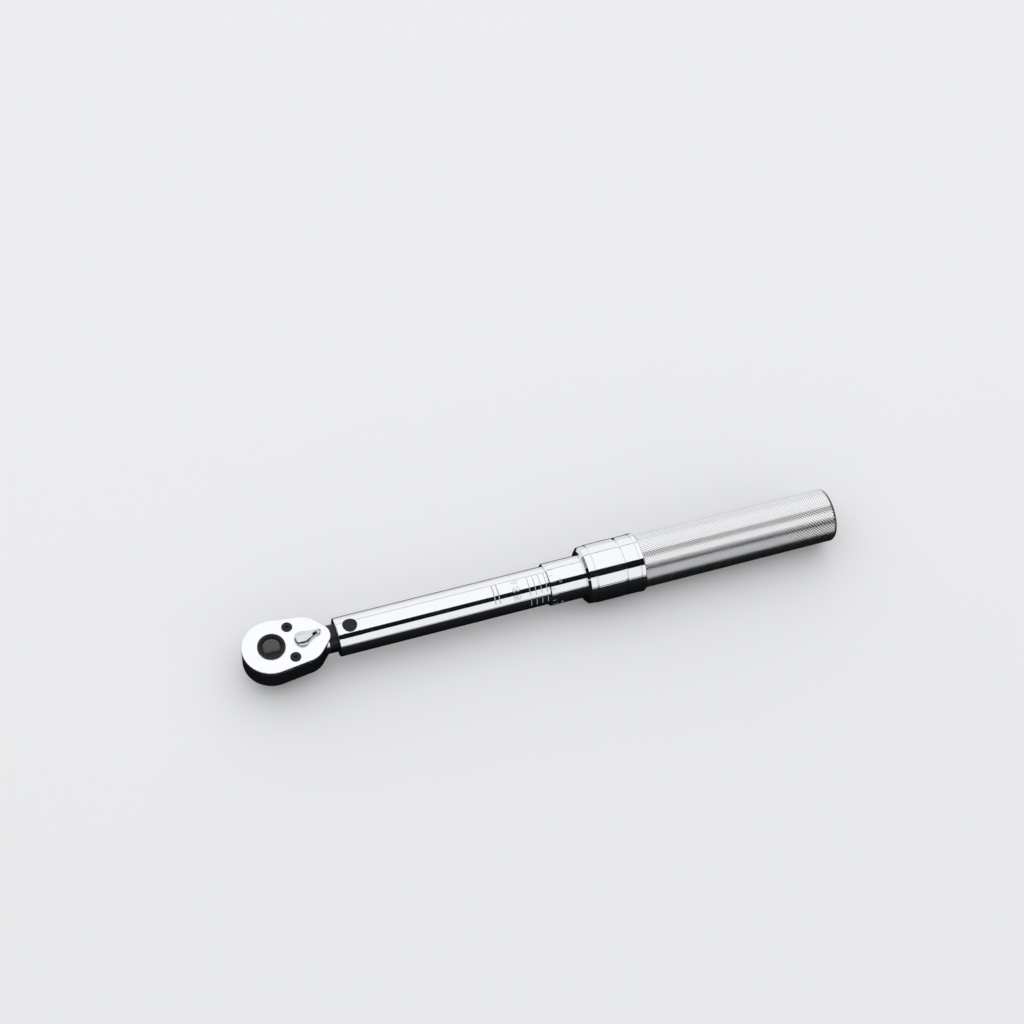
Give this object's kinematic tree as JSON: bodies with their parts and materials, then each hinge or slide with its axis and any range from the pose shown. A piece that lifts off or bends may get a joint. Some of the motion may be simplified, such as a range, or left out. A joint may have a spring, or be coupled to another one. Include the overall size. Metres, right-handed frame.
{
  "type": "torque wrench",
  "caption": "Micrometer click torque wrench: reversible ratchet head with a square drive, a plain round barrel, a sliding lock ring and a knurled grip that turns to set the torque.",
  "frame": {"origin": "on the drive axis, at the shoulder of the square drive where a socket seats", "axes": "+X along the barrel to the end of the grip, +Z out of the lever side of the head"},
  "size_m": [0.2668, 0.026, 0.0273],
  "materials": {
    "head_chrome": "polished chrome plate",
    "barrel_chrome": "mirror chrome plate with etched scale",
    "knurl_chrome": "satin chrome over diamond knurling",
    "black_oxide": "black oxide, satin",
    "bare_steel": "ground and hardened steel",
    "spring_steel": "oil-tempered spring wire",
    "nut_brass": "turned brass",
    "cap_plastic": "matte moulded plastic"
  },
  "bodies": {
    "barrel": {"tube": "barrel_chrome", "pivot_pin": "black_oxide", "adjusting_nut": "nut_brass", "nut_pins": "bare_steel", "main_spring": "spring_steel"},
    "head": {"ratchet_head": "head_chrome", "cover_plate": "head_chrome", "cover_screws": "black_oxide"},
    "drive": {"drive_gear": "black_oxide", "button_ring": "black_oxide", "release_spring": "spring_steel"},
    "button": {"release_button": "black_oxide"},
    "socket_catch": {"detent_ball": "bare_steel"},
    "lever": {"reversing_lever": "head_chrome", "lever_clip": "spring_steel", "pawl_spring": "spring_steel", "pawl_ball": "bare_steel"},
    "pawl": {"pawl": "bare_steel"},
    "block": {"click_block": "bare_steel"},
    "plunger": {"plunger": "bare_steel"},
    "carriage": {"spring_seat": "bare_steel", "thrust_ball": "bare_steel"},
    "handle": {"grip": "knurl_chrome", "thimble": "barrel_chrome", "adjusting_screw": "bare_steel", "screw_lock_nut": "bare_steel", "end_cap": "cap_plastic", "lock_spring": "spring_steel"},
    "lock": {"lock_ring": "barrel_chrome"},
    "ball_left": {"lock_ball_1": "bare_steel"},
    "ball_right": {"lock_ball_2": "bare_steel"}
  },
  "joints": [
    {"name": "head_click", "type": "hinge", "parent": "barrel", "child": "head", "pos_m": [0.0338, 0, 0.0068], "axis": [0, 0, 1], "range_deg": [-2.2, 2.2], "stiffness_Nm_per_rad": 5},
    {"name": "drive_spin", "type": "hinge", "parent": "head", "child": "drive", "pos_m": [0, 0, 0], "axis": [0, 0, 1], "continuous": true},
    {"name": "button_press", "type": "slide", "parent": "drive", "child": "button", "axis": [0, 0, -1], "range_m": [0, 0.0016], "stiffness_N_per_m": 400, "springref_m": -0.004, "deforming": ["release_spring"]},
    {"name": "catch_in", "type": "slide", "parent": "drive", "child": "socket_catch", "axis": [1, 0, 0], "range_m": [0, 0.0005]},
    {"name": "lever_throw", "type": "hinge", "parent": "head", "child": "lever", "pos_m": [0.0133, 0, 0.0128], "axis": [0, 0, 1], "range_deg": [-24, 0]},
    {"name": "pawl_rock", "type": "hinge", "parent": "head", "child": "pawl", "pos_m": [0.0133, 0, 0.0128], "axis": [0, 0, 1], "range_deg": [-9, 0]},
    {"name": "block_tilt", "type": "hinge", "parent": "barrel", "child": "block", "pos_m": [0.05525, 0, 0.0068], "axis": [0, 0, 1], "range_deg": [-7, 7]},
    {"name": "plunger_slide", "type": "slide", "parent": "barrel", "child": "plunger", "axis": [1, 0, 0], "range_m": [0, 0.0004], "stiffness_N_per_m": 1500, "springref_m": -0.004},
    {"name": "adjust_travel", "type": "slide", "parent": "barrel", "child": "carriage", "axis": [-1, 0, 0], "range_m": [-0.00508, 0.01016], "deforming": ["main_spring"]},
    {"name": "adjust_turn", "type": "hinge", "parent": "carriage", "child": "handle", "pos_m": [0.25415, 0, 0.0068], "axis": [-1, 0, 0], "range_deg": [-720, 1440]},
    {"name": "lock_slide", "type": "slide", "parent": "handle", "child": "lock", "axis": [1, 0, 0], "range_m": [0, 0.004], "stiffness_N_per_m": 1000, "springref_m": -0.003, "deforming": ["lock_spring"]},
    {"name": "ball_left_out", "type": "slide", "parent": "handle", "child": "ball_left", "axis": [0, 1, 0], "range_m": [0, 0.0006]},
    {"name": "ball_right_out", "type": "slide", "parent": "handle", "child": "ball_right", "axis": [0, -1, 0], "range_m": [0, 0.0006]}
  ],
  "couplings": [
    {"joint": "catch_in", "follows": "button_press", "ratio": 0.3125},
    {"joint": "pawl_rock", "follows": "lever_throw", "ratio": 0.375},
    {"joint": "block_tilt", "follows": "head_click", "ratio": -2.8304},
    {"joint": "adjust_travel", "follows": "adjust_turn", "m_per_rad": 0.00040425},
    {"joint": "ball_left_out", "follows": "lock_slide", "ratio": 0.15},
    {"joint": "ball_right_out", "follows": "lock_slide", "ratio": 0.15}
  ]
}
